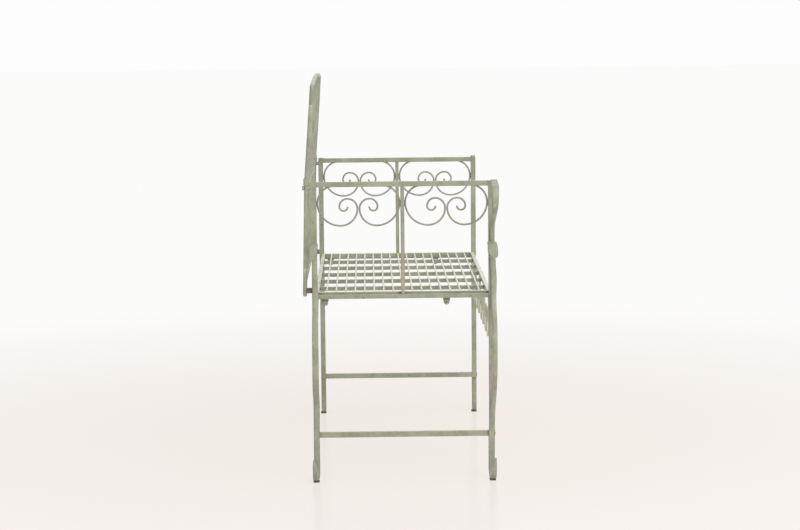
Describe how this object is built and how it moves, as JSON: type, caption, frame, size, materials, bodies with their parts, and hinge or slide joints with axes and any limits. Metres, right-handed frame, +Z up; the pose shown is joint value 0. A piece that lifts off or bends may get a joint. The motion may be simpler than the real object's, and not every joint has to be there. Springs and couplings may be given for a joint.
{
  "type": "metal garden bench",
  "caption": "Two-seat iron garden bench with a rod seat, scrolled arm sides and apron, an arched back and curled strap legs.",
  "frame": {"origin": "on the floor under the middle of the whole bench", "axes": "+X along the bench, the front faces -Y, +Z up"},
  "size_m": [1.146, 0.4607, 0.9553],
  "materials": {
    "sage_paint": "worn satin sage green paint",
    "bolt_steel": "dull zinc",
    "black_glide": "matte"
  },
  "bodies": {
    "root": {"apron_scroll_1": "sage_paint", "apron_scroll_2": "sage_paint", "apron_scroll_3": "sage_paint", "apron_scroll_4": "sage_paint", "arm_mid_post_left": "sage_paint", "arm_mid_post_right": "sage_paint", "arm_rail_left": "sage_paint", "arm_rail_right": "sage_paint", "arm_roll_left": "sage_paint", "arm_roll_right": "sage_paint", "arm_scroll_front_left": "sage_paint", "arm_scroll_front_right": "sage_paint", "arm_scroll_rear_left": "sage_paint", "arm_scroll_rear_right": "sage_paint", "back_arch": "sage_paint", "back_bolts": "bolt_steel", "back_bottom_rail": "sage_paint", "back_brackets": "sage_paint", "back_lower_bars": "sage_paint", "back_mid_rail": "sage_paint", "back_post_left": "sage_paint", "back_post_right": "sage_paint", "back_scroll_1": "sage_paint", "back_scroll_2": "sage_paint", "back_scroll_3": "sage_paint", "back_scroll_4": "sage_paint", "back_sleeves": "sage_paint", "back_spacers": "sage_paint", "back_upper_bars": "sage_paint", "front_foot_pad_left": "black_glide", "front_foot_pad_right": "black_glide", "front_leg_left": "sage_paint", "front_leg_right": "sage_paint", "front_post_left": "sage_paint", "front_post_right": "sage_paint", "rear_foot_pad_left": "black_glide", "rear_foot_pad_right": "black_glide", "rear_leg_left": "sage_paint", "rear_leg_right": "sage_paint", "rear_post_left": "sage_paint", "rear_post_right": "sage_paint", "seat_bolts": "bolt_steel", "seat_cross_bar_1": "sage_paint", "seat_cross_bar_2": "sage_paint", "seat_cross_bar_3": "sage_paint", "seat_cross_bar_4": "sage_paint", "seat_cross_bar_5": "sage_paint", "seat_end_bar_left": "sage_paint", "seat_end_bar_right": "sage_paint", "seat_front_rail": "sage_paint", "seat_lugs": "sage_paint", "seat_nuts": "bolt_steel", "seat_rear_rail": "sage_paint", "seat_rods": "sage_paint", "seat_side_rail_left": "sage_paint", "seat_side_rail_right": "sage_paint", "side_rail_lugs": "sage_paint", "stretcher_left": "sage_paint", "stretcher_right": "sage_paint"}
  },
  "joints": []
}
